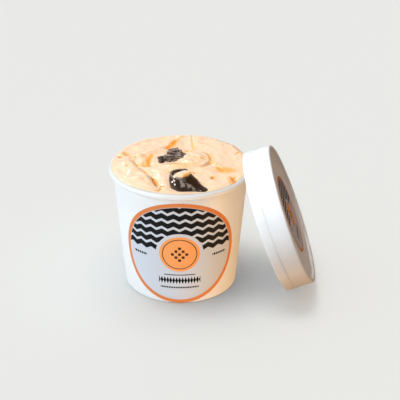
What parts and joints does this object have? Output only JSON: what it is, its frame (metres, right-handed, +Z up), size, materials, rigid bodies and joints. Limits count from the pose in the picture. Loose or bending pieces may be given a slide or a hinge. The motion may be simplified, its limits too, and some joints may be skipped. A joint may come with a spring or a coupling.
{
  "type": "gelato cup",
  "caption": "Small paper cup filled over the brim with soft gelato and lumps of chocolate-dipped wafer, its own white lid leaning on the rim.",
  "frame": {"origin": "on the floor, at the bottom centre of the whole set's bounding box", "axes": "+Z up, +X from the cup towards the leaning lid, -Y towards the cup's label"},
  "size_m": [0.1032, 0.0752, 0.0712],
  "materials": {
    "cup_card": "smooth white coated paperboard",
    "base_card": "white coated paperboard, seen from below",
    "cup_print": "satin printed paper label",
    "gelato_cream": "soft moist gelato, faintly glossy",
    "stub_chocolate": "glossy dark chocolate coating",
    "slab_chocolate": "broken dark chocolate, satin",
    "lid_plastic": "smooth white satin",
    "lid_print": "satin printed paper label"
  },
  "bodies": {
    "root": {"cup_wall": "cup_card", "cup_base": "base_card", "cup_label": "cup_print", "gelato": "gelato_cream", "chocolate_front": "stub_chocolate", "chocolate_back": "slab_chocolate", "lid": "lid_plastic", "lid_label": "lid_print"}
  },
  "joints": []
}
